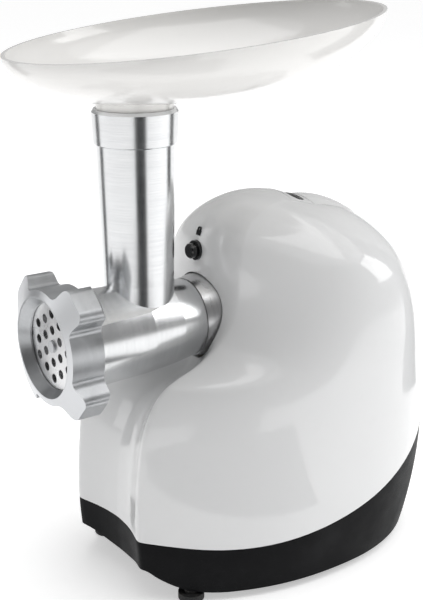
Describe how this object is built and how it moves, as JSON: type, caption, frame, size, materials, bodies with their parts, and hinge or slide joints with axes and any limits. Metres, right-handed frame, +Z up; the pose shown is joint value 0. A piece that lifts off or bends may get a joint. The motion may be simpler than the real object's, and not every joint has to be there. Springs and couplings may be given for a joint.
{
  "type": "electric meat grinder",
  "caption": "Upright electric meat grinder with an oval feed tray, vertical feed tube, barrel with lobed ring and a rounded two-tone housing.",
  "frame": {"origin": "on the surface it stands on, below the middle of its overall box", "axes": "+Z up, the outlet faces -Y, +X to the right seen from the outlet"},
  "size_m": [0.2, 0.3149, 0.3895],
  "materials": {
    "tray_plastic": "gloss",
    "white_plastic": "gloss",
    "black_plastic": "fine texture",
    "gloss_black": "gloss",
    "cast_aluminium": "satin brushed",
    "plate_steel": "ground",
    "steel": "satin",
    "rubber_black": "matte",
    "bush_plastic": "matte",
    "gear_plastic": "matte",
    "lamination": "laminated",
    "copper": "enamelled wire",
    "brass": "satin",
    "carbon": "matte",
    "board": "matte"
  },
  "bodies": {
    "housing": {"main_housing": "white_plastic", "base_skirt": "black_plastic", "back_cover": "white_plastic", "cable_gland": "rubber_black", "top_cap": "white_plastic", "switch_body": "black_plastic", "bottom_plate": "black_plastic", "rubber_feet": "rubber_black", "foot_screws": "steel", "post_screws": "steel", "socket_collar": "cast_aluminium", "lock_bezel": "gloss_black", "lock_spring": "steel", "lock_bracket": "steel", "lock_symbol": "gloss_black", "spindle_bush": "brass", "gear_case": "gear_plastic", "case_cover": "gear_plastic", "layshaft": "steel", "stator_core": "lamination", "field_coils": "copper", "front_bracket": "cast_aluminium", "rear_bracket": "cast_aluminium", "motor_bearings": "steel", "motor_spacers": "steel", "motor_screws": "steel", "brush_holders": "brass", "carbon_brushes": "carbon", "control_board": "board", "board_bracket": "black_plastic"},
    "head": {"grinder_head": "cast_aluminium", "plate_key": "steel", "rear_bush": "bush_plastic", "perforated_plate": "plate_steel"},
    "auger": {"auger": "cast_aluminium", "knife": "steel"},
    "ring": {"fixing_ring": "cast_aluminium"},
    "tray": {"feed_tray": "tray_plastic"},
    "lock": {"lock_button": "gloss_black"},
    "rocker": {"switch_rocker": "gloss_black"},
    "spindle": {"output_spindle": "steel", "output_gear": "gear_plastic"},
    "lay_wheel": {"lay_gear": "gear_plastic"},
    "rotor": {"rotor_shaft": "steel", "rotor_core": "lamination", "rotor_windings": "copper", "commutator": "copper", "motor_pinion": "steel", "cooling_fan": "black_plastic"}
  },
  "joints": [
    {"name": "auger_spin", "type": "hinge", "parent": "housing", "child": "auger", "pos_m": [0, 0, 0.181], "axis": [0, 1, 0], "continuous": true},
    {"name": "spindle_spin", "type": "hinge", "parent": "housing", "child": "spindle", "pos_m": [0, 0, 0.181], "axis": [0, 1, 0], "continuous": true},
    {"name": "lay_gear_spin", "type": "hinge", "parent": "housing", "child": "lay_wheel", "pos_m": [0, 0, 0.141], "axis": [0, 1, 0], "continuous": true},
    {"name": "rotor_spin", "type": "hinge", "parent": "housing", "child": "rotor", "pos_m": [0, 0, 0.106], "axis": [0, 1, 0], "continuous": true},
    {"name": "fixing_ring_turn", "type": "hinge", "parent": "head", "child": "ring", "pos_m": [0, 0, 0.181], "axis": [0, 1, 0], "range_deg": [0, 720]},
    {"name": "head_turn", "type": "hinge", "parent": "housing", "child": "head", "pos_m": [0, 0, 0.181], "axis": [0, 1, 0], "range_deg": [0, 40]},
    {"name": "tray_lift", "type": "slide", "parent": "head", "child": "tray", "axis": [0, 0, 1], "range_m": [0, 0.06]},
    {"name": "lock_button_press", "type": "slide", "parent": "housing", "child": "lock", "axis": [0, 1, 0], "range_m": [0, 0.004], "stiffness_N_per_m": 130, "springref_m": -0.003, "deforming": ["lock_spring"]},
    {"name": "switch_rock", "type": "hinge", "parent": "housing", "child": "rocker", "pos_m": [0, 0.0511, 0.2442], "axis": [0, 1, 0], "range_deg": [0, 6]}
  ],
  "couplings": [
    {"joint": "spindle_spin", "follows": "auger_spin", "ratio": 1},
    {"joint": "lay_gear_spin", "follows": "auger_spin", "ratio": -4.3333},
    {"joint": "rotor_spin", "follows": "auger_spin", "ratio": 29.37}
  ]
}
